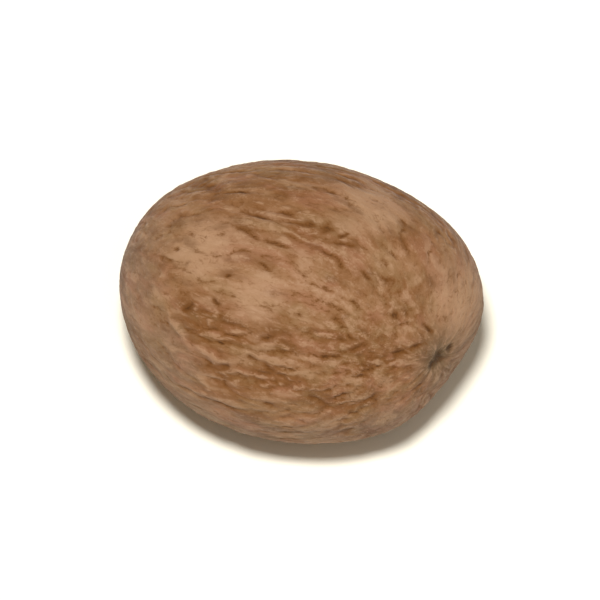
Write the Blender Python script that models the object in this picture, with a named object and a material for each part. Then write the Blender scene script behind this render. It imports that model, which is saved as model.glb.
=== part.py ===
"""A whole nutmeg: one shelled, dried kernel lying on its side.

Run with: blender --background --python part.py

Metres, +Z up. The long axis runs along X with the hilum, the scar of the stalk end, at +X
and the chalaza at -X. The kernel rests on a small flat spot, and the origin is at the
middle of its footprint, on the surface that it rests on.

A place on the kernel is given by its station, from -1 at the chalaza end to +1 at the
hilum end, and by its angle round the long axis, in degrees: 0 is +Y, 90 is the top.
"""

import math

import bmesh
import bpy
import numpy as np

MM = 0.001

# Overall size, over everything.
LENGTH = 25.0 * MM
WIDTH = 19.4 * MM
HEIGHT = 18.5 * MM

# The kernel before it is pressed on to its resting spot.
HALF_LENGTH = LENGTH / 2
HALF_WIDTH = WIDTH / 2
FULL_HALF_HEIGHT = 9.4 * MM
MEAN_RADIUS = (HALF_WIDTH + FULL_HALF_HEIGHT) / 2
BROAD_END = 0.02            # how much fuller the hilum half is than the chalaza half

# The resting spot: how deep it is pressed, and over what height its edge rounds off.
REST_DEPTH = 0.34 * MM
REST_EDGE = 0.16 * MM

# The stalk end is cut off aslant by a soft flat that faces this way.
SLANT_FACING = (0.88, -0.42, -0.14)
SLANT_DEPTH = 0.95 * MM
SLANT_EDGE = 1.3 * MM
SLANT_SHARE = 0.8           # how much of what stands past the flat is taken off

# Low swells and hollows: station, angle, radius, height.
SWELLS = (
    (-0.52, 97, 3.6 * MM, 0.22 * MM),
    (-0.86, 25, 4.2 * MM, 0.30 * MM),
    (-0.80, 200, 4.0 * MM, 0.06 * MM),
    (-0.30, 203, 5.0 * MM, 0.26 * MM),
    (0.36, 25, 5.0 * MM, -0.25 * MM),
    (0.80, 55, 4.0 * MM, 0.22 * MM),
    (0.30, 95, 4.5 * MM, -0.10 * MM),
    (-0.20, 320, 4.5 * MM, 0.20 * MM),
    (0.45, 290, 4.0 * MM, -0.18 * MM),
    (-0.30, 345, 3.4 * MM, -0.16 * MM),
)

# Furrows along the kernel: angle at the middle, turn from end to end, first and last
# station, depth. The first five are on the upper side, and the rest go round the back.
FURROWS = (
    (84, 16, -0.46, 0.36, 0.24 * MM),
    (133, 4, -0.68, 0.72, 0.17 * MM),
    (153, 12, -0.50, 0.62, 0.17 * MM),
    (112, -8, 0.34, 0.84, 0.14 * MM),
    (60, 12, -0.74, 0.06, 0.14 * MM),
    (38, 8, -0.34, 0.72, 0.17 * MM),
    (14, -6, -0.74, 0.40, 0.18 * MM),
    (350, 10, -0.20, 0.80, 0.15 * MM),
    (326, -8, -0.70, 0.30, 0.17 * MM),
    (238, 8, -0.40, 0.78, 0.18 * MM),
    (214, -8, -0.76, 0.20, 0.17 * MM),
    (182, 10, -0.60, 0.56, 0.19 * MM),
)
FURROW_WIDTH = 0.58 * MM    # half width of a furrow
FURROW_FADE = 0.20          # length over which its ends fade, in stations
FURROW_SWING = 3.0          # sideways swing of its course, in degrees
FURROW_WAVES = 3.1          # swings from end to end of the kernel
FURROW_BREAKS = 5.4         # deeper and shallower stretches along the kernel
FURROW_BREAK_SHARE = 0.38   # how much shallower than the mean the shallow stretches are
FURROW_PHASE = 2.4          # how far the waves of one furrow run ahead of the last one's
BREAK_PHASE = 1.7           # the same for its breaks, as a multiple of the waves' phase
GROOVE_REACH = 60.0         # a groove reaches at most this far to each side, in degrees

# The raphe, a broad shallow groove from the hilum to the chalaza.
RAPHE_ANGLE = 305
RAPHE_WIDTH = 1.1 * MM
RAPHE_DEPTH = 0.26 * MM
RAPHE_REACH = 0.93

# The scars of the two ends: station, angle, then the pit and the rim round it.
HILUM_STATION = 0.82
HILUM_ANGLE = 140
HILUM_PIT_RADIUS = 0.95 * MM
HILUM_PIT_DEPTH = 0.26 * MM
HILUM_RIM_RADIUS = 2.0 * MM
HILUM_RIM_WIDTH = 0.70 * MM
HILUM_RIM_HEIGHT = 0.09 * MM
CHALAZA_STATION = -0.95
CHALAZA_ANGLE = 330
CHALAZA_PIT_RADIUS = 1.3 * MM
CHALAZA_PIT_DEPTH = 0.34 * MM

# Each of the six sides of the starting cube has this many rows of faces.
ROWS_PER_SIDE = 27

COLLECTION_NAME = "nutmeg"
KERNEL_NAME = "kernel"
SHELL_COLOUR = (0.32, 0.165, 0.08, 1.0)
SHELL_ROUGHNESS = 0.68


def clear_scene():
    """Remove the objects that Blender starts with."""
    for obj in list(bpy.data.objects):
        bpy.data.objects.remove(obj, do_unlink=True)


def smooth_step(share):
    """Ease from 0 to 1 as share goes from 0 to 1."""
    share = np.clip(share, 0.0, 1.0)
    return share * share * (3.0 - 2.0 * share)


def soft_excess(value, edge):
    """How far value is above zero, with the corner rounded over an edge on each side."""
    rounded = (value + edge) ** 2 / (4.0 * edge)
    return np.where(value > edge, value, np.where(value < -edge, 0.0, rounded))


def place(station, angle):
    """The point of the plain ellipsoid at a station and an angle."""
    round_axis = math.sqrt(1.0 - station * station)
    turn = math.radians(angle)
    return np.array((
        HALF_LENGTH * station,
        HALF_WIDTH * round_axis * math.cos(turn),
        FULL_HALF_HEIGHT * round_axis * math.sin(turn),
    ))


def distance_to(points, station, angle):
    """The distance of each point from a place on the kernel."""
    return np.linalg.norm(points - place(station, angle), axis=1)


def swell_relief(points):
    """The low swells and hollows that make the kernel uneven."""
    relief = np.zeros(len(points))
    for station, angle, radius, height in SWELLS:
        distance = distance_to(points, station, angle)
        relief += height * np.exp(-(distance / radius) ** 2)
    return relief


def groove_profile(stations, angles, course, width):
    """A groove's depth across its course, from 1 on the line to 0 well beside it."""
    turn = (angles - course + 180.0) % 360.0 - 180.0
    radius = MEAN_RADIUS * np.sqrt(np.clip(1.0 - stations ** 2, 0.0, 1.0))
    offset = np.radians(turn) * radius
    return np.exp(-(offset / width) ** 2) * (np.abs(turn) < GROOVE_REACH)


def furrow_relief(stations, angles):
    """The broken, wavy furrows that follow the kernel from end to end."""
    relief = np.zeros(len(stations))
    for number, (middle, turn, first, last, depth) in enumerate(FURROWS):
        phase = FURROW_PHASE * number
        swing = FURROW_SWING * np.sin(math.pi * FURROW_WAVES * stations + phase)
        course = middle + turn * stations + swing
        reach = smooth_step((stations - first) / FURROW_FADE)
        reach = reach * smooth_step((last - stations) / FURROW_FADE)
        breaks = np.sin(math.pi * FURROW_BREAKS * stations + BREAK_PHASE * phase)
        broken = 1.0 - FURROW_BREAK_SHARE * (1.0 - breaks)
        relief -= depth * reach * broken * groove_profile(stations, angles, course, FURROW_WIDTH)
    return relief


def raphe_relief(stations, angles):
    """The groove that joins the two scars along the underside."""
    reach = smooth_step((RAPHE_REACH - np.abs(stations)) / FURROW_FADE)
    return -RAPHE_DEPTH * reach * groove_profile(stations, angles, RAPHE_ANGLE, RAPHE_WIDTH)


def scar_relief(points):
    """The hilum, a pit inside a low rim, and the plain pit of the chalaza."""
    from_hilum = distance_to(points, HILUM_STATION, HILUM_ANGLE)
    rim = HILUM_RIM_HEIGHT * np.exp(-((from_hilum - HILUM_RIM_RADIUS) / HILUM_RIM_WIDTH) ** 2)
    pit = HILUM_PIT_DEPTH * np.exp(-(from_hilum / HILUM_PIT_RADIUS) ** 2)
    from_chalaza = distance_to(points, CHALAZA_STATION, CHALAZA_ANGLE)
    end_pit = CHALAZA_PIT_DEPTH * np.exp(-(from_chalaza / CHALAZA_PIT_RADIUS) ** 2)
    return rim - pit - end_pit


def cut_slant(points):
    """Press the stalk end back to its soft slanting flat."""
    facing = np.array(SLANT_FACING)
    facing = facing / np.linalg.norm(facing)
    half_sizes = np.array((HALF_LENGTH, HALF_WIDTH, FULL_HALF_HEIGHT))
    furthest = np.linalg.norm(half_sizes * facing)
    excess = soft_excess(points @ facing - (furthest - SLANT_DEPTH), SLANT_EDGE)
    return points - SLANT_SHARE * excess[:, None] * facing


def press_rest(points):
    """Press the underside flat where the kernel lies."""
    pressed = points.copy()
    floor = points[:, 2].min() + REST_DEPTH
    pressed[:, 2] += soft_excess(floor - points[:, 2], REST_EDGE)
    return pressed


def fit_to_size(points):
    """Bring the kernel to its overall size, standing on Z = 0 and centred on X and Y."""
    low = points.min(axis=0)
    high = points.max(axis=0)
    middle = (low + high) / 2
    middle[2] = low[2]
    return (points - middle) * (np.array((LENGTH, WIDTH, HEIGHT)) / (high - low))


def kernel_surface(directions):
    """The kernel's surface points, one for each unit direction from its middle."""
    stations = directions[:, 0]
    angles = np.degrees(np.arctan2(directions[:, 2], directions[:, 1]))
    half_sizes = np.array((HALF_LENGTH, HALF_WIDTH, FULL_HALF_HEIGHT))
    points = directions * half_sizes
    outward = directions / half_sizes
    outward = outward / np.linalg.norm(outward, axis=1, keepdims=True)

    relief = swell_relief(points) + furrow_relief(stations, angles)
    relief += raphe_relief(stations, angles)
    relief += scar_relief(points)

    fullness = 1.0 + BROAD_END * stations
    points[:, 1] *= fullness
    points[:, 2] *= fullness
    points = cut_slant(points) + relief[:, None] * outward
    return fit_to_size(press_rest(points))


def even_sphere(bm):
    """Turn a cube into a sphere of even square faces, and return its directions."""
    bmesh.ops.create_cube(bm, size=2.0)
    bmesh.ops.subdivide_edges(bm, edges=bm.edges[:], cuts=ROWS_PER_SIDE - 1, use_grid_fill=True)
    directions = np.array([vertex.co for vertex in bm.verts])
    directions = np.tan(directions * math.pi / 4)
    return directions / np.linalg.norm(directions, axis=1, keepdims=True)


def shell_material():
    """The dry tan-brown surface of the kernel."""
    material = bpy.data.materials.new("nutmeg_shell")
    material.use_nodes = True
    shader = material.node_tree.nodes["Principled BSDF"]
    shader.inputs["Base Color"].default_value = SHELL_COLOUR
    shader.inputs["Roughness"].default_value = SHELL_ROUGHNESS
    shader.inputs["Metallic"].default_value = 0.0
    material.diffuse_color = SHELL_COLOUR
    return material


def make_kernel(collection):
    """Model the kernel as one closed solid."""
    bm = bmesh.new()
    directions = even_sphere(bm)
    for vertex, point in zip(bm.verts, kernel_surface(directions)):
        vertex.co = point
    mesh = bpy.data.meshes.new(KERNEL_NAME)
    bm.to_mesh(mesh)
    bm.free()
    mesh.shade_smooth()
    mesh.materials.append(shell_material())
    collection.objects.link(bpy.data.objects.new(KERNEL_NAME, mesh))


def main():
    clear_scene()
    collection = bpy.data.collections.new(COLLECTION_NAME)
    bpy.context.scene.collection.children.link(collection)
    make_kernel(collection)


main()
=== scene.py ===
"""The looks of a whole nutmeg: a fine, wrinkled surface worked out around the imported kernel.

Metres, +Z up, in the frame of the CAD. A place on the kernel is given by its station, from
-1 at the chalaza end (-X) to +1 at the hilum end (+X), and by its angle round the long axis
in degrees, where 0 is +Y and 90 is the top.
"""

import itertools
import math
from collections import namedtuple

import bmesh
import bpy
import numpy as np
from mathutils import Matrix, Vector
from mathutils.bvhtree import BVHTree


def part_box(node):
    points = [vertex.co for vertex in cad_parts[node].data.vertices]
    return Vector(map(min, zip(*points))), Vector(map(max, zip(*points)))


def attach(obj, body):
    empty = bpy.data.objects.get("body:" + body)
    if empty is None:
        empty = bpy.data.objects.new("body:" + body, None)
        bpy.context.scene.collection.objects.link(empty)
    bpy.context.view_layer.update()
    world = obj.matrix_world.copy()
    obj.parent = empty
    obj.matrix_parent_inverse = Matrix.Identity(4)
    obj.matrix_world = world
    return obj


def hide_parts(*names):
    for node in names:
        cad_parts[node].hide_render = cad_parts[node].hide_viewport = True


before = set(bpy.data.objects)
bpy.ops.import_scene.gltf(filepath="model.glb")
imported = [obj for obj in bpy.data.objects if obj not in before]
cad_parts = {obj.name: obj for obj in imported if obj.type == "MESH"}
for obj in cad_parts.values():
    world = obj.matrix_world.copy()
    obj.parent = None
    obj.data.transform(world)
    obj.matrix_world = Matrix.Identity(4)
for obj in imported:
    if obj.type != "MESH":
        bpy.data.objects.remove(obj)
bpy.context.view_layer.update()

MM = 0.001
NODE = "kernel"
LOW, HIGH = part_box(NODE)
MIDDLE = np.array((LOW + HIGH) / 2)
HALF_SIZES = np.array((HIGH - LOW) / 2)

# The fine surface: rows of faces on each of a cube's six sides, and how much it is smoothed.
ROWS_PER_SIDE = 127
SMOOTHING_LENGTH = 0.34 * MM

# Bands of furrows along the kernel: angle at the middle, turn from end to end, first and
# last station, strength. Most of them follow the furrows of the CAD solid.
BANDS = (
    (84, 16, -0.46, 0.36, 0.80),
    (133, 4, -0.68, 0.80, 1.00),
    (154, 12, -0.50, 0.66, 1.00),
    (112, -8, 0.34, 0.84, 0.60),
    (60, 12, -0.74, 0.06, 0.45),
    (38, 8, -0.34, 0.86, 0.70),
    (14, -6, -0.74, 0.40, 0.95),
    (350, 10, -0.20, 0.94, 0.90),
    (326, -8, -0.70, 0.30, 0.90),
    (238, 8, -0.40, 0.92, 0.95),
    (214, -8, -0.76, 0.20, 0.90),
    (182, 10, -0.60, 0.56, 0.50),
    (201, -6, 0.06, 0.92, 0.80),
    (262, 6, -0.66, 0.44, 0.75),
    (290, -6, -0.30, 0.93, 0.80),
)
BAND_WIDTH = 1.5 * MM
BAND_FADE = 0.2             # the stations over which a band fades in and out
BAND_SWING = 3.0            # degrees to either side of its course
BAND_WAVES = 3.1
BAND_LAG = 2.4              # radians by which each band's waves are shifted from the last one's

# The most prominent dark dashes of the upper side: station, angle, length, width, and slant
# from the kernel's length in degrees. A positive slant turns the hilum end to lower angles.
DASHES = (
    (-0.30, 88, 2.5 * MM, 0.36 * MM, -24),
    (-0.25, 79, 2.2 * MM, 0.36 * MM, -25),
    (-0.03, 81, 2.8 * MM, 0.36 * MM, 2),
    (0.13, 81, 1.1 * MM, 0.95 * MM, -60),
    (0.22, 83, 0.9 * MM, 0.34 * MM, 40),
    (0.24, 87, 1.9 * MM, 0.36 * MM, 5),
    (-0.12, 92, 2.2 * MM, 0.34 * MM, -13),
    (-0.39, 65, 2.2 * MM, 0.30 * MM, -9),
    (-0.17, 102, 1.3 * MM, 0.22 * MM, -27),
    (-0.36, 108, 0.5 * MM, 0.28 * MM, 0),
    (0.38, 99, 1.1 * MM, 0.34 * MM, -40),
    (0.56, 114, 0.6 * MM, 0.40 * MM, 0),
    (-0.09, 131, 1.5 * MM, 0.50 * MM, 35),
    (-0.17, 142, 0.9 * MM, 0.48 * MM, -10),
    (-0.08, 144, 0.9 * MM, 0.38 * MM, -25),
    (-0.31, 149, 0.9 * MM, 0.50 * MM, 15),
    (0.23, 136, 0.8 * MM, 0.44 * MM, 0),
    (0.38, 131, 2.0 * MM, 0.42 * MM, 22),
    (0.60, 133, 1.2 * MM, 0.36 * MM, 10),
    (0.69, 130, 1.2 * MM, 0.38 * MM, 15),
    (0.74, 119, 1.4 * MM, 0.32 * MM, -38),
    (0.21, 158, 1.6 * MM, 0.44 * MM, -32),
    (-0.05, 164, 1.0 * MM, 0.42 * MM, -25),
    (0.50, 157, 1.0 * MM, 0.34 * MM, 30),
    (-0.56, 126, 1.1 * MM, 0.44 * MM, 45),
    (-0.40, 120, 0.9 * MM, 0.34 * MM, -40),
)

# A pale ridge where the furrows stop and the smooth skin begins, in two pieces: as the dashes.
RIDGES = (
    (-0.60, 139, 2.6 * MM, 0.60 * MM, -37),
    (-0.42, 145, 2.8 * MM, 0.60 * MM, -20),
)

# The shape of a dash or a ridge, in shares of its length and width from its middle: a core, a
# longer and fainter tail, and the soft zone round it.
CORE_REACH = (0.58, 0.80)
CORE_BLUNTNESS = 3.6        # 2 gives pointed ends, more gives blunter ones
TAIL_REACH = (1.15, 0.75)
TAIL_STRENGTH = 0.45
SURROUND_REACH = (0.70, 1.7)
MARK_BEND = 0.24 * MM
STATION_STEP = 0.02         # a short way ahead, which gives a mark its lengthwise direction

# Smooth patches with few furrows, coloured greyer and darker as dust and painted shade: station,
# angle, radius.
BARE_PATCHES = (
    (-0.95, 130, 5.0 * MM),
    (-0.66, 160, 3.2 * MM),
    (0.93, 85, 3.0 * MM),
    (-0.46, 190, 2.8 * MM),
    (-0.14, 190, 2.6 * MM),
    (0.22, 188, 2.6 * MM),
    (0.58, 184, 2.6 * MM),
    (-0.10, 275, 3.5 * MM),
)

# Pale patches, a little less furrowed: station, angle, radius.
PALE_PATCHES = (
    (-0.50, 94, 2.6 * MM),
    (-0.18, 115, 1.8 * MM),
    (0.36, 62, 2.6 * MM),
    (0.90, 90, 3.7 * MM),
    (-0.50, 345, 2.6 * MM),
    (0.20, 15, 2.2 * MM),
    (0.30, 215, 2.8 * MM),
)
PATCH_INSIDE = 1.5          # how far above 0 a patch's level is at its middle
PATCH_SLOPE = 1.1           # how much the level falls over one radius
PATCH_RAGGEDNESS = 0.55

# The scars of the two ends, and the dark spots that they are made of: station, angle, radius.
HILUM_STATION = 0.82
HILUM_ANGLE = 140
CHALAZA_STATION = -0.95
CHALAZA_ANGLE = 330
SCAR_SPOTS = (
    (0.83, 141, 0.72 * MM),
    (0.80, 145, 0.52 * MM),
    (0.87, 135, 0.38 * MM),
    (-0.95, 330, 0.70 * MM),
)
SCAR_EDGE = 0.22            # the level of a spot at which the dark scar begins
SCAR_FADE = 0.75
SCAR_RAGGEDNESS = 0.34
STAIN_REACH = 1.7 * MM
STAIN_FADE = 1.3 * MM
STAIN_RAGGEDNESS = 1.5 * MM
HALO_REACH = 3.4 * MM
HALO_FADE = 2.4 * MM
HALO_RAGGEDNESS = 2.0 * MM

# How the furrows run together at the scars.
SCAR_SHARE = 0.35           # the share of the furrows at the waist that go on to the scars
SCAR_PULL = 5               # the higher, the less the scars bend the furrows that are far away
WARP_SIZE = 1.2             # the millimetres across a lump of the warp, and how much lengths
WARP_ALONG = 0.5            # along the furrows count in it
COLOUR_BEND = 0.30          # how strongly the warp bends the noises of the colours
TURN_STEPS = 361
LEAST_WIDTH = 0.1           # keeps lengths finite at the scars, where furrows have no width

# How furrowed each point is: everywhere, in bands, by chance, and in pale and bare patches.
BASE_ACTIVITY = 0.36
BAND_ACTIVITY = 0.62
CHANCE_ACTIVITY = 0.30
PALE_CALM = 0.15
BARE_CALM = 0.65

# Heights and depths of the relief. Where there are two, the second is what a fully furrowed
# place adds to the first.
SWELL_HEIGHT = 0.050 * MM
SKIN_HEIGHT = 0.020 * MM
LONG_WRINKLE_DEPTH = 0.13 * MM
ROW_DEPTHS = (0.055 * MM, 0.130 * MM)
SHOULDER_HEIGHTS = (0.02 * MM, 0.06 * MM)
LINK_DEPTHS = (0.020 * MM, 0.040 * MM)
CREASE_DEPTH = 0.030 * MM
DASH_DEPTH = 0.19 * MM
RIDGE_HEIGHT = 0.14 * MM
PIT_DEPTH = 0.12 * MM
PINHOLE_DEPTH = 0.07 * MM
SCAR_DEPTH = 0.12 * MM
VALLEY_SHARPNESS = 1.6
FADE_SPAN = 0.7             # the rise in level over which furrows fade in
FAINTEST_WRINKLE = 0.35     # the share of its depth that a long wrinkle keeps everywhere
FADE_START = 0.25           # the level at which rows and links begin
STAIN_SMOOTHING = 0.55      # the share of the furrows' depth that is lost in a stain
BARE_SMOOTHING = 0.4        # the share of the long wrinkles' depth that is lost in a bare patch
DASH_SMOOTHING = 0.7        # the share of the relief beside a dash that is lost

# The relief fades in above the resting spot, which stays flat.
REST_MARGIN = 0.03 * MM
REST_FADE = 0.5 * MM

# What counts as a hollow, for the colours: how deep a point lies below its surroundings. The colours
# paint shade into hollows and a highlight onto raised places.
CAVITY_LENGTH = 0.42 * MM
CAVITY_UNIT = 0.05 * MM
CAVITY_LIMITS = (-1.5, 3.5)
DASH_CAVITY = 0.4           # what a dash counts for on top of its depth

# Camera and light.
CAMERA_AZIMUTH = 9.5
CAMERA_ELEVATION = 65
CAMERA_DISTANCE = 0.50
VIEW_WIDTH = 41.0 * MM
SENSOR_WIDTH = 36.0
NEAR_LIMIT = 0.01
WORLD_COLOUR = (1.0, 0.88, 0.70, 1.0)
WORLD_STRENGTH = 0.18
FLOOR_COLOUR = (0.90, 0.86, 0.74, 1.0)
FLOOR_ROUGHNESS = 0.9
FLOOR_SIZE = 3.0
FLOOR_DROP = 0.02 * MM      # keeps the floor clear of the resting spot

# The flow is where a point is along the furrows, and then across them, in millimetres. The
# furrows run together at the two scars, where narrow falls from 1 to 0. The warp is what
# bends the furrows.
Surface = namedtuple("Surface", "points normals stations angles flow narrow warp")


# ---------------------------------------------------------------- noise

TABLE_SIZE = 1024
GRADIENTS = np.random.default_rng(11).normal(size=(TABLE_SIZE, 3))
GRADIENTS = GRADIENTS / np.linalg.norm(GRADIENTS, axis=1, keepdims=True)
SCATTER = np.random.default_rng(12).random(size=(TABLE_SIZE, 4))
CORNERS = tuple(itertools.product((0, 1), repeat=3))
NEIGHBOURS = tuple(itertools.product((-1, 0, 1), repeat=3))

# Large odd factors, which scramble a cell's place and a seed into a number.
CELL_FACTORS = (73856093, 19349663, 83492791)
SEED_FACTOR = 2654435761
MIXING_FACTOR = 2246822519

NOISE_LEVEL = 1.8           # brings the noise to about -1 to 1
FAR = 9.0                   # farther than the spots of the cells around
SEED_STEP = 17              # keeps the layers of a noise apart


def smooth_step(share):
    """Ease from 0 to 1 as share goes from 0 to 1."""
    share = np.clip(share, 0.0, 1.0)
    return share * share * (3.0 - 2.0 * share)


def cell_number(cells, seed):
    """A repeatable number below TABLE_SIZE for each cell of a grid."""
    x_factor, y_factor, z_factor = CELL_FACTORS
    mixed = cells[:, 0] * x_factor ^ cells[:, 1] * y_factor ^ cells[:, 2] * z_factor
    mixed = (mixed ^ seed * SEED_FACTOR) * MIXING_FACTOR
    return (mixed >> 13) & (TABLE_SIZE - 1)


def gradient_noise(places, seed):
    """Smooth noise of about -1 to 1, with lumps about one unit across."""
    cells = np.floor(places).astype(np.int64)
    inside = places - cells
    fade = inside ** 3 * (inside * (inside * 6.0 - 15.0) + 10.0)
    total = np.zeros(len(places))
    for corner in CORNERS:
        offset = np.array(corner)
        weight = np.where(offset == 1, fade, 1.0 - fade).prod(axis=1)
        gradient = GRADIENTS[cell_number(cells + offset, seed)]
        total += weight * ((inside - offset) * gradient).sum(axis=1)
    return total * NOISE_LEVEL


def layered_noise(places, seed, layers=3, fineness=2.1, gain=0.5):
    """Several sizes of smooth noise added up."""
    total = np.zeros(len(places))
    reach = 0.0
    for layer in range(layers):
        amount = gain ** layer
        total += amount * gradient_noise(places * fineness ** layer, seed + SEED_STEP * layer)
        reach += amount
    return total / reach


def spot_noise(places, seed, presence):
    """Distance to the nearest scattered spot, with that spot's own random number.

    A cell holds a spot with the chance that presence gives, which may differ from point to
    point."""
    cells = np.floor(places).astype(np.int64)
    nearest = np.full(len(places), FAR)
    number = np.zeros(len(places))
    for step in NEIGHBOURS:
        cell = cells + np.array(step)
        random = SCATTER[cell_number(cell, seed)]
        spot = cell + random[:, :3]
        distance = np.linalg.norm(places - spot, axis=1)
        distance = np.where(random[:, 3] < presence, distance, FAR)
        closer = distance < nearest
        nearest = np.where(closer, distance, nearest)
        number = np.where(closer, random[:, 3] / np.maximum(presence, 1e-6), number)
    return nearest, number


# ---------------------------------------------------------------- the surface to work on

def even_sphere(bm):
    """Turn a cube into a sphere of even square faces, and return its directions."""
    bmesh.ops.create_cube(bm, size=2.0)
    bmesh.ops.subdivide_edges(bm, edges=bm.edges[:], cuts=ROWS_PER_SIDE - 1, use_grid_fill=True)
    directions = np.array([vertex.co for vertex in bm.verts])
    directions = np.tan(directions * math.pi / 4)
    return directions / np.linalg.norm(directions, axis=1, keepdims=True)


def project_on_node(directions):
    """Where the CAD solid's surface lies in each direction from its middle."""
    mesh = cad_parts[NODE].data
    corners = [vertex.co for vertex in mesh.vertices]
    faces = [tuple(polygon.vertices) for polygon in mesh.polygons]
    tree = BVHTree.FromPolygons(corners, faces)
    middle = Vector(MIDDLE)
    aims = directions * HALF_SIZES
    return np.array([tree.ray_cast(middle, Vector(aim).normalized())[0] for aim in aims])


class Net:
    """The links between a mesh's points, for averaging over them."""

    def __init__(self, mesh, points):
        """Collect the links of a mesh, and how long they are on average."""
        edges = np.zeros(len(mesh.edges) * 2, dtype=np.int32)
        mesh.edges.foreach_get("vertices", edges)
        edges = edges.reshape(-1, 2)
        self.ends = np.concatenate((edges[:, 0], edges[:, 1]))
        self.others = np.concatenate((edges[:, 1], edges[:, 0]))
        self.count = np.bincount(self.ends, minlength=len(points))
        self.spacing = np.linalg.norm(points[edges[:, 0]] - points[edges[:, 1]], axis=1).mean()

    def average(self, values, length):
        """Average each point's value with those about a length away.

        Each round spreads the values by about half a link, and the rounds add up as their
        squares do."""
        rounds = int(round((length / (0.5 * self.spacing)) ** 2))
        for _ in range(rounds):
            total = np.bincount(self.ends, weights=values[self.others], minlength=len(values))
            values = 0.5 * values + 0.5 * total / self.count
        return values


def set_points(mesh, points):
    """Move a mesh's points, and bring its normals up to date."""
    mesh.vertices.foreach_set("co", points.ravel())
    mesh.update()


def mesh_normals(mesh):
    """The normals of a mesh's points, as an array."""
    normals = np.zeros(len(mesh.vertices) * 3)
    mesh.vertex_normals.foreach_get("vector", normals)
    return normals.reshape(-1, 3)


def facing(station, angle):
    """The direction, on a unit ball, of a station and an angle."""
    round_axis = math.sqrt(1.0 - station * station)
    turn = math.radians(angle)
    return np.array((station, round_axis * math.cos(turn), round_axis * math.sin(turn)))


def place(station, angle):
    """The point of the plain ellipsoid at a station and an angle."""
    return MIDDLE + HALF_SIZES * facing(station, angle)


def bend_to_scars(directions):
    """Bend a unit ball so that its ends come to lie at the scars, where the furrows meet."""
    bent = directions.copy()
    scars = ((1, HILUM_STATION, HILUM_ANGLE), (-1, CHALAZA_STATION, CHALAZA_ANGLE))
    for end, station, angle in scars:
        scar = facing(station, angle)
        near = ((1.0 + directions @ scar) / 2) ** SCAR_PULL
        bent += near[:, None] * (np.array((end, 0.0, 0.0)) - scar)
    return bent / np.linalg.norm(bent, axis=1, keepdims=True)


def furrow_share(narrow):
    """How many of the furrows at the waist there are, as a share, where narrow is 1 at the waist."""
    return SCAR_SHARE + (1.0 - SCAR_SHARE) * narrow


def along_furrows(turns):
    """How far along the furrows each point is, in metres, from its turn away from the hilum.

    Near the scars, where furrows are narrow, lengths count for more, so that marks get
    shorter there as well."""
    steps = np.linspace(0.0, math.pi, TURN_STEPS)
    narrow = np.sin(steps)
    widths = np.maximum(narrow / furrow_share(narrow), LEAST_WIDTH)
    lengths = np.cumsum(1.0 / np.sqrt(widths)) * (steps[1] - steps[0])
    waist = math.pi / 2
    lengths += waist - np.interp(waist, steps, lengths)
    return np.interp(turns, steps, lengths) * HALF_SIZES[0]


def describe(mesh, points):
    """The station, angle and other measures of every point of the surface."""
    share = (points - MIDDLE) / HALF_SIZES
    share = share / np.linalg.norm(share, axis=1, keepdims=True)
    angles = np.degrees(np.arctan2(share[:, 2], share[:, 1]))
    bent = bend_to_scars(share)
    lengthwise = np.clip(bent[:, 0], -1.0, 1.0)
    narrow = np.sqrt(1.0 - lengthwise ** 2)
    around = bent[:, 1:] / np.maximum(narrow, 1e-6)[:, None] * HALF_SIZES[1:]
    along = along_furrows(np.arccos(lengthwise))
    flow = np.column_stack((along, around * furrow_share(narrow)[:, None])) / MM
    slow = flow * (WARP_ALONG, 1.0, 1.0) / WARP_SIZE
    warp = np.stack([layered_noise(slow, seed) for seed in (21, 22, 23)], axis=1)
    return Surface(points, mesh_normals(mesh), share[:, 0], angles, flow, narrow, warp)


def start_surface():
    """The CAD solid's shape as a fine, even mesh, with its flat facets rounded off."""
    bm = bmesh.new()
    directions = even_sphere(bm)
    mesh = bpy.data.meshes.new("nutmeg")
    bm.to_mesh(mesh)
    bm.free()
    points = project_on_node(directions)
    net = Net(mesh, points)
    points = np.column_stack([net.average(axis, SMOOTHING_LENGTH) for axis in points.T])
    set_points(mesh, points)
    return mesh, net, describe(mesh, points)


# ---------------------------------------------------------------- where things are

def flow_places(surface, size, along=1.0, bend=0.0):
    """Where the points are in a noise that has lumps of a size in millimetres.

    along is how much lengths along the furrows count, so below 1 the lumps are drawn out. bend
    is how strongly the warp bends them."""
    return surface.flow * (along, 1.0, 1.0) / size + bend * surface.warp


def band_field(surface):
    """How strongly each point lies in one of the bands of furrows, from 0 to 1."""
    field = np.zeros(len(surface.points))
    radius = HALF_SIZES[1:].mean() * np.sqrt(np.clip(1.0 - surface.stations ** 2, 0.0, 1.0))
    waves = math.pi * BAND_WAVES * surface.stations
    for number, (middle, turn, first, last, strength) in enumerate(BANDS):
        swing = BAND_SWING * np.sin(waves + BAND_LAG * number)
        course = middle + turn * surface.stations + swing
        aside = (surface.angles - course + 180.0) % 360.0 - 180.0
        offset = np.radians(aside) * radius
        reach = smooth_step((surface.stations - first) / BAND_FADE)
        reach = reach * smooth_step((last - surface.stations) / BAND_FADE)
        field = np.maximum(field, strength * reach * np.exp(-(offset / BAND_WIDTH) ** 2))
    return field


def patch_field(surface, patches):
    """How strongly each point lies in one of the patches, from 0 to 1, with ragged edges."""
    places = flow_places(surface, size=1.3, along=0.6)
    ragged = PATCH_RAGGEDNESS * layered_noise(places, seed=33, layers=4, gain=0.6)
    field = np.zeros(len(surface.points))
    for station, angle, radius in patches:
        distance = np.linalg.norm(surface.points - place(station, angle), axis=1)
        level = PATCH_INSIDE - PATCH_SLOPE * distance / radius + ragged
        field = np.maximum(field, smooth_step(level))
    return field


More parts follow.
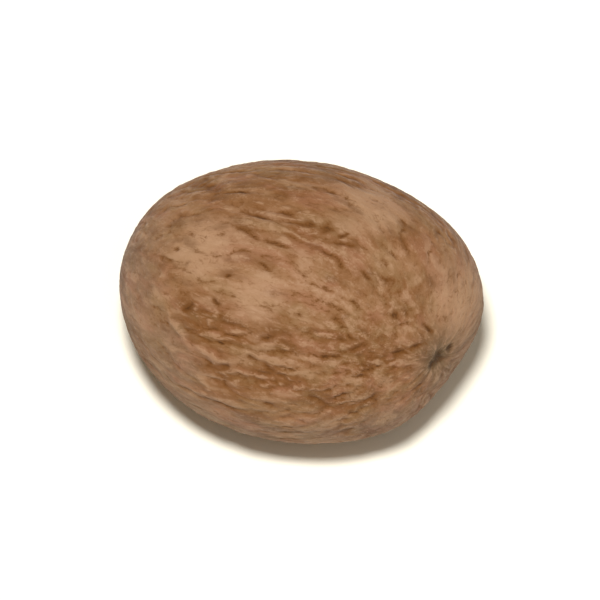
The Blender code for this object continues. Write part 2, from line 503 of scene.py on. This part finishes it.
def mark_offsets(surface, mark):
    """How far each point lies along and across a dash or ridge, in its lengths and widths."""
    station, angle, length, width, slant = mark
    middle = place(station, angle)
    ahead = place(station + STATION_STEP, angle) - middle
    ahead = ahead / np.linalg.norm(ahead)
    around = np.cross((1.0, 0.0, 0.0), facing(0.0, angle))
    turn = math.radians(slant)
    offset = surface.points - middle + MARK_BEND * surface.warp
    lengthwise = offset @ (ahead * math.cos(turn) - around * math.sin(turn)) / length
    across = offset @ (ahead * math.sin(turn) + around * math.cos(turn)) / width
    return lengthwise, across


def mark_field(surface, marks):
    """The dashes or ridges, from 0 or less beside them to 1 at their middles."""
    core_length, core_width = CORE_REACH
    tail_length, tail_width = TAIL_REACH
    field = np.zeros(len(surface.points))
    for mark in marks:
        lengthwise, across = mark_offsets(surface, mark)
        blunt = np.abs(lengthwise / core_length) ** CORE_BLUNTNESS
        core = 1.0 - np.sqrt(blunt + (across / core_width) ** 2)
        out = np.sqrt((lengthwise / tail_length) ** 2 + (across / tail_width) ** 2)
        tail = TAIL_STRENGTH - TAIL_STRENGTH * out
        field = np.maximum(field, np.maximum(core, tail))
    return field


def surround_field(surface, marks):
    """The soft zones round the marks, from 0 far from them to 1 at their middles."""
    zone_length, zone_width = SURROUND_REACH
    field = np.zeros(len(surface.points))
    for mark in marks:
        lengthwise, across = mark_offsets(surface, mark)
        zone = np.exp(-(lengthwise / zone_length) ** 2 - (across / zone_width) ** 2)
        field = np.maximum(field, zone)
    return field


def end_scars(surface):
    """The dark, uneven spots of the two scars, the stains round them, and the greyer skin beyond."""
    places = surface.points / (0.80 * MM)
    ragged = SCAR_RAGGEDNESS * layered_noise(places, seed=81, layers=4, gain=0.7)
    spot = np.zeros(len(surface.points))
    for station, angle, radius in SCAR_SPOTS:
        apart = np.linalg.norm(surface.points - place(station, angle), axis=1)
        spot = np.maximum(spot, np.exp(-(apart / radius) ** 2))
    scar = smooth_step((spot + ragged - SCAR_EDGE) / SCAR_FADE)
    to_hilum = np.linalg.norm(surface.points - place(HILUM_STATION, HILUM_ANGLE), axis=1)
    to_chalaza = np.linalg.norm(surface.points - place(CHALAZA_STATION, CHALAZA_ANGLE), axis=1)
    nearest = np.minimum(to_hilum, to_chalaza)
    stain = smooth_step((STAIN_REACH - nearest - STAIN_RAGGEDNESS * ragged) / STAIN_FADE)
    halo = smooth_step((HALO_REACH - nearest - HALO_RAGGEDNESS * ragged) / HALO_FADE)
    return scar, stain, halo


# ---------------------------------------------------------------- relief

def valley(noise, width):
    """A valley wherever the noise passes through zero: 1 at its bottom, 0 beyond its sides."""
    return np.clip(1.0 - np.abs(noise) / width, 0.0, 1.0) ** VALLEY_SHARPNESS


def long_wrinkles(surface, activity):
    """Fine, nearly parallel furrows that run on from scar to scar."""
    places = flow_places(surface, size=1.60, along=0.10, bend=0.20)
    noise = layered_noise(places, seed=42, layers=2, gain=0.3)
    presence = layered_noise(flow_places(surface, size=2.0), seed=43) + activity
    fresh = FAINTEST_WRINKLE + (1.0 - FAINTEST_WRINKLE) * smooth_step(presence / FADE_SPAN)
    return valley(noise, width=0.26) * fresh * np.sqrt(surface.narrow)


def furrow_rows(surface, activity):
    """Rows of furrows along the bands, broken into dashes, and the raised shoulders beside them."""
    places = flow_places(surface, size=1.75, along=0.16, bend=0.32)
    noise = layered_noise(places, seed=44, layers=2, gain=0.35)
    breaks = layered_noise(flow_places(surface, size=1.2, along=0.60), seed=45, layers=2)
    fresh = smooth_step((breaks + 1.15 * activity - FADE_START) / FADE_SPAN)
    return valley(noise, width=0.27) * fresh, valley(noise, width=0.75) * fresh


def cross_furrows(surface, activity):
    """Furrows that run across from row to row, and part the ground between them into lumps."""
    places = flow_places(surface, size=1.05, along=0.55, bend=0.5)
    noise = layered_noise(places, seed=49, layers=2, gain=0.4)
    presence = layered_noise(flow_places(surface, size=1.6), seed=48) + activity
    return valley(noise, width=0.22) * smooth_step((presence - FADE_START) / FADE_SPAN)


def fine_creases(surface):
    """The creases between the furrows."""
    places = flow_places(surface, size=0.48, along=0.35, bend=0.5)
    return valley(layered_noise(places, seed=46, layers=2), width=0.34)


def pits(surface, activity):
    """Small holes in the bands."""
    places = flow_places(surface, size=0.90, along=0.6)
    distance, size = spot_noise(places, seed=61, presence=0.20 * activity ** 2)
    return smooth_step(1.0 - distance / (0.20 + 0.18 * size))


def pinholes(surface, bare):
    """A few tiny holes anywhere but in the bare patches."""
    places = flow_places(surface, size=1.3)
    distance, size = spot_noise(places, seed=62, presence=0.12 * (1.0 - bare))
    return smooth_step(1.0 - distance / (0.10 + 0.07 * size))


def by_activity(sizes, activity):
    """A depth or height: its first value where nothing is furrowed, plus the second where all is."""
    least, added = sizes
    return least + added * activity


def wrinkle_surface(surface, net):
    """The relief of the whole surface, and the masks that its colours need."""
    bare = patch_field(surface, BARE_PATCHES)
    pale = patch_field(surface, PALE_PATCHES)
    chance = layered_noise(flow_places(surface, size=2.2, along=0.5), seed=31)
    activity = BASE_ACTIVITY + BAND_ACTIVITY * band_field(surface) + CHANCE_ACTIVITY * chance
    activity = np.clip(activity - PALE_CALM * pale, 0.0, 1.0) * (1.0 - BARE_CALM * bare)

    scar, stain, halo = end_scars(surface)
    dash = mark_field(surface, DASHES)
    beside_dash = surround_field(surface, DASHES)
    row, shoulder = furrow_rows(surface, activity)
    long_wrinkle = long_wrinkles(surface, activity) * (1.0 - BARE_SMOOTHING * bare)
    link = cross_furrows(surface, activity)

    swell = gradient_noise(flow_places(surface, size=3.6, along=0.5), seed=41)
    skin = layered_noise(flow_places(surface, size=0.40, along=0.5), seed=71)
    furrows = by_activity(SHOULDER_HEIGHTS, activity) * shoulder
    furrows -= by_activity(ROW_DEPTHS, activity) * row
    furrows -= by_activity(LINK_DEPTHS, activity) * link
    furrows -= LONG_WRINKLE_DEPTH * long_wrinkle
    relief = SWELL_HEIGHT * swell + SKIN_HEIGHT * skin
    relief += furrows * (1.0 - STAIN_SMOOTHING * stain)
    relief -= CREASE_DEPTH * fine_creases(surface)
    relief *= 1.0 - DASH_SMOOTHING * beside_dash
    relief -= DASH_DEPTH * dash
    relief += RIDGE_HEIGHT * mark_field(surface, RIDGES)
    relief -= PIT_DEPTH * pits(surface, activity)
    relief -= PINHOLE_DEPTH * pinholes(surface, bare)
    relief -= SCAR_DEPTH * scar

    cavity = (net.average(relief, CAVITY_LENGTH) - relief) / CAVITY_UNIT
    masks = {
        "cavity": np.clip(cavity + DASH_CAVITY * dash, *CAVITY_LIMITS),
        "beside_dash": beside_dash,
        "activity": activity,
        # The bare patches' greyer, darker colour, dust and painted shade, outside the pale patches.
        "dust_and_shade": bare * (1.0 - pale),
        "pale": pale,
        "scar": scar,
        "stain": stain,
        "halo": halo,
    }
    return relief, masks


# ---------------------------------------------------------------- the kernel

def store(mesh, name, values, kind="FLOAT", key="value"):
    """Keep an array of numbers or vectors on a mesh's points, for its material to read."""
    attribute = mesh.attributes.new(name, kind, "POINT")
    attribute.data.foreach_set(key, values.astype(np.float32).ravel())


def make_kernel():
    """The visible nutmeg, which stands for the CAD node."""
    mesh, net, surface = start_surface()
    relief, masks = wrinkle_surface(surface, net)
    resting = smooth_step((surface.points[:, 2] - REST_MARGIN) / REST_FADE)
    points = surface.points + (relief * resting)[:, None] * surface.normals
    points[:, 2] = np.maximum(points[:, 2], 0.0)
    set_points(mesh, points)
    mesh.shade_smooth()
    for name, values in masks.items():
        store(mesh, name, values)
    bent_flow = surface.flow + COLOUR_BEND * surface.warp
    store(mesh, "flow", bent_flow, kind="FLOAT_VECTOR", key="vector")

    kernel = bpy.data.objects.new("nutmeg", mesh)
    bpy.context.scene.collection.objects.link(kernel)
    kernel.data.materials.append(shell_material())
    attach(kernel, "root")
    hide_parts(NODE)


# ---------------------------------------------------------------- material

class Nodes:
    """A short way to add nodes to a material."""

    def __init__(self, material):
        """Start from the material's own Principled shader."""
        material.use_nodes = True
        self.tree = material.node_tree
        self.shader = self.tree.nodes["Principled BSDF"]

    def fill(self, target, value):
        """Set a socket to a value, or link it to another socket."""
        if isinstance(value, bpy.types.NodeSocket):
            self.tree.links.new(value, target)
        else:
            target.default_value = value

    def attribute(self, name, output="Fac"):
        """What is stored on the mesh's points under a name."""
        node = self.tree.nodes.new("ShaderNodeAttribute")
        node.attribute_name = name
        return node.outputs[output]

    def math(self, operation, first, second=0.0):
        """One step of arithmetic with two values."""
        node = self.tree.nodes.new("ShaderNodeMath")
        node.operation = operation
        self.fill(node.inputs[0], first)
        self.fill(node.inputs[1], second)
        return node.outputs["Value"]

    def noise(self, size, stretch=1.0, detail=3.0, roughness=0.55):
        """Noise with lumps of a size in millimetres, stretched along the furrows."""
        mapping = self.tree.nodes.new("ShaderNodeMapping")
        mapping.inputs["Scale"].default_value = (1 / (size * stretch), 1 / size, 1 / size)
        self.fill(mapping.inputs["Vector"], self.attribute("flow", "Vector"))
        node = self.tree.nodes.new("ShaderNodeTexNoise")
        node.inputs["Scale"].default_value = 1.0
        node.inputs["Detail"].default_value = detail
        node.inputs["Roughness"].default_value = roughness
        self.fill(node.inputs["Vector"], mapping.outputs["Vector"])
        return node.outputs["Fac"]

    def span(self, value, low, high, to_low=0.0, to_high=1.0):
        """Map a value's range to another range, without going past its ends."""
        node = self.tree.nodes.new("ShaderNodeMapRange")
        node.interpolation_type = "SMOOTHSTEP"
        self.fill(node.inputs["Value"], value)
        node.inputs["From Min"].default_value = low
        node.inputs["From Max"].default_value = high
        node.inputs["To Min"].default_value = to_low
        node.inputs["To Max"].default_value = to_high
        return node.outputs["Result"]

    def line(self, noise, width):
        """Thin lines wherever the noise passes through its middle value."""
        return self.span(self.math("ABSOLUTE", self.math("SUBTRACT", noise, 0.5)), width, 0.0)

    def tint(self, under, colour, share, strength):
        """Lay a colour over another, where share is high."""
        node = self.tree.nodes.new("ShaderNodeMix")
        node.data_type = "RGBA"
        colours = [entry for entry in node.inputs if entry.type == "RGBA"]
        self.fill(node.inputs[0], self.math("MULTIPLY", share, strength))
        self.fill(colours[0], under)
        self.fill(colours[1], colour)
        return [entry for entry in node.outputs if entry.type == "RGBA"][0]


def paint(red, green, blue):
    """A colour as Blender wants it, from the 0 to 255 values that a screen shows."""
    shown = np.array((red, green, blue)) / 255
    linear = np.where(shown <= 0.04045, shown / 12.92, ((shown + 0.055) / 1.055) ** 2.4)
    return (*linear.tolist(), 1.0)


TAN = paint(142, 105, 73)
PALE = paint(162, 128, 99)
RUSSET = paint(115, 75, 40)
STREAK_BROWN = paint(86, 50, 16)
# The browns of the hollows: the furrows' own colour, deepened with painted shade.
FURROW_BROWN_AND_SHADE = paint(98, 59, 20)
PIT_BROWN_AND_SHADE = paint(50, 24, 2)
# Greyer, darker skin for the bare patches: dust and painted shade.
DUST_AND_SHADE = paint(115, 95, 78)
ROSE = paint(148, 102, 78)
OLIVE = paint(130, 104, 70)
HALO = paint(102, 84, 63)
STAIN = paint(86, 69, 43)
SCAR = paint(58, 38, 16)
SHEEN_TINT = (0.76, 0.86, 0.94, 1.0)
# The grain's low places count as hollows and get painted shade in the colours, its high places a
# painted highlight.
LEVEL_GRAIN = 0.82          # the height of the grain that counts as neither hollow nor raised
GRAIN_CAVITY = 3.4          # how much the grain counts for among the hollows
BUMP_STRENGTH = 0.8
BUMP_HEIGHT = 0.06 * MM


def grain_height(n):
    """The finest relief, as noise for the bump and for the colours."""
    mottle = n.noise(size=0.60, stretch=2.4, detail=4.0, roughness=0.60)
    fibre = n.noise(size=0.16, stretch=4.0, detail=3.0, roughness=0.6)
    grain = n.noise(size=0.09, stretch=1.5, detail=2.0)
    veins = n.line(n.noise(size=0.90, stretch=2.6), width=0.035)
    crinkles = n.line(n.noise(size=0.44, stretch=2.2, detail=2.0), width=0.07)
    height = n.math("ADD", mottle, n.math("MULTIPLY", fibre, 0.40))
    height = n.math("ADD", height, n.math("MULTIPLY", grain, 0.35))
    height = n.math("SUBTRACT", height, n.math("MULTIPLY", veins, 0.16))
    return n.math("SUBTRACT", height, n.math("MULTIPLY", crinkles, 0.16))


def skin_colour(n):
    """The colour of the dry skin: tan to russet, with dust and painted shade, stains and pale and
    dark streaks.
    """
    patches = n.noise(size=2.6, stretch=1.8)
    hues = n.noise(size=1.7, stretch=2.6, detail=2.0)
    streaks = n.noise(size=1.05, stretch=3.2, detail=3.0)
    colour = n.tint(RUSSET, TAN, n.span(patches, 0.34, 0.60), strength=1.0)
    colour = n.tint(colour, RUSSET, n.attribute("activity"), strength=0.98)
    # Greyer and darker in the bare patches: dust, with painted shade.
    colour = n.tint(colour, DUST_AND_SHADE, n.attribute("dust_and_shade"), strength=0.45)
    colour = n.tint(colour, ROSE, n.span(hues, 0.50, 0.66), strength=0.34)
    colour = n.tint(colour, OLIVE, n.span(hues, 0.50, 0.34), strength=0.32)
    colour = n.tint(colour, PALE, n.attribute("pale"), strength=0.56)
    colour = n.tint(colour, HALO, n.attribute("halo"), strength=0.50)
    colour = n.tint(colour, STAIN, n.attribute("stain"), strength=0.60)
    colour = n.tint(colour, PALE, n.span(streaks, 0.50, 0.68), strength=0.45)
    colour = n.tint(colour, STREAK_BROWN, n.span(streaks, 0.48, 0.28), strength=0.46)
    return n.tint(colour, STREAK_BROWN, n.attribute("beside_dash"), strength=0.22)


def shell_material():
    """Dry, woody, dusty tan-brown, darker in its furrows and pits with their own brown and painted
    shade, and paler on raised places with a painted highlight.
    """
    material = bpy.data.materials.new("nutmeg_shell")
    n = Nodes(material)
    height = grain_height(n)
    fine_cavity = n.math("MULTIPLY", n.math("SUBTRACT", LEVEL_GRAIN, height), GRAIN_CAVITY)
    cavity = n.math("ADD", n.attribute("cavity"), fine_cavity)

    colour = skin_colour(n)
    # Paler on raised places, a painted highlight; darker in hollows, the furrows' own brown deepened
    # with painted shade, nearly black in the deepest pits.
    colour = n.tint(colour, PALE, n.span(cavity, -0.1, -1.6), strength=0.55)
    colour = n.tint(colour, FURROW_BROWN_AND_SHADE, n.span(cavity, 0.0, 2.2), strength=0.84)
    colour = n.tint(colour, PIT_BROWN_AND_SHADE, n.span(cavity, 1.6, 3.6), strength=0.60)
    colour = n.tint(colour, SCAR, n.attribute("scar"), strength=0.82)
    n.fill(n.shader.inputs["Base Color"], colour)

    roughness = n.span(cavity, -1.0, 1.0, to_low=0.62, to_high=0.85)
    n.fill(n.shader.inputs["Roughness"], roughness)
    n.fill(n.shader.inputs["Diffuse Roughness"], 0.2)
    n.fill(n.shader.inputs["Specular IOR Level"], 0.14)
    n.fill(n.shader.inputs["Sheen Weight"], 0.05)
    n.fill(n.shader.inputs["Sheen Roughness"], 0.5)
    n.fill(n.shader.inputs["Sheen Tint"], SHEEN_TINT)

    bump = n.tree.nodes.new("ShaderNodeBump")
    bump.inputs["Strength"].default_value = BUMP_STRENGTH
    bump.inputs["Distance"].default_value = BUMP_HEIGHT
    n.fill(bump.inputs["Height"], height)
    n.fill(n.shader.inputs["Normal"], bump.outputs["Normal"])
    return material


# ---------------------------------------------------------------- stage

def make_floor():
    """A plain, pale floor."""
    bpy.ops.mesh.primitive_plane_add(size=FLOOR_SIZE, location=(0, 0, -FLOOR_DROP))
    floor = bpy.context.object
    floor.name = "floor"
    material = bpy.data.materials.new("floor")
    n = Nodes(material)
    n.fill(n.shader.inputs["Base Color"], FLOOR_COLOUR)
    n.fill(n.shader.inputs["Roughness"], FLOOR_ROUGHNESS)
    floor.data.materials.append(material)


def make_light(name, position, size, power):
    """A round lamp that is aimed at the kernel."""
    data = bpy.data.lights.new(name, "AREA")
    data.shape = "DISK"
    data.size = size
    data.energy = power
    light = bpy.data.objects.new(name, data)
    light.location = position
    light.rotation_euler = (Vector(MIDDLE) - Vector(position)).to_track_quat("-Z", "Y").to_euler()
    bpy.context.scene.collection.objects.link(light)


def make_lights():
    """A small key light above, a large faint one at the right, and a dim warm surround."""
    make_light("key", position=(0.0, -0.10, 0.43), size=0.06, power=2.4)
    make_light("fill", position=(0.10, -0.15, 0.40), size=0.24, power=0.25)
    world = bpy.data.worlds.new("studio")
    world.use_nodes = True
    background = world.node_tree.nodes["Background"]
    background.inputs["Color"].default_value = WORLD_COLOUR
    background.inputs["Strength"].default_value = WORLD_STRENGTH
    bpy.context.scene.world = world


def make_camera():
    """A camera that looks down on the kernel from the front, a little from the right."""
    azimuth = math.radians(CAMERA_AZIMUTH)
    elevation = math.radians(CAMERA_ELEVATION)
    back = Vector((
        math.sin(azimuth) * math.cos(elevation),
        -math.cos(azimuth) * math.cos(elevation),
        math.sin(elevation),
    ))
    data = bpy.data.cameras.new("camera")
    data.sensor_width = SENSOR_WIDTH
    data.lens = SENSOR_WIDTH * CAMERA_DISTANCE / VIEW_WIDTH
    data.clip_start = NEAR_LIMIT
    camera = bpy.data.objects.new("camera", data)
    camera.location = Vector(MIDDLE) + back * CAMERA_DISTANCE
    camera.rotation_euler = back.to_track_quat("Z", "Y").to_euler()
    bpy.context.scene.collection.objects.link(camera)
    bpy.context.scene.camera = camera


make_camera()
make_lights()
make_floor()
make_kernel()
bpy.context.scene.view_settings.view_transform = "Standard"
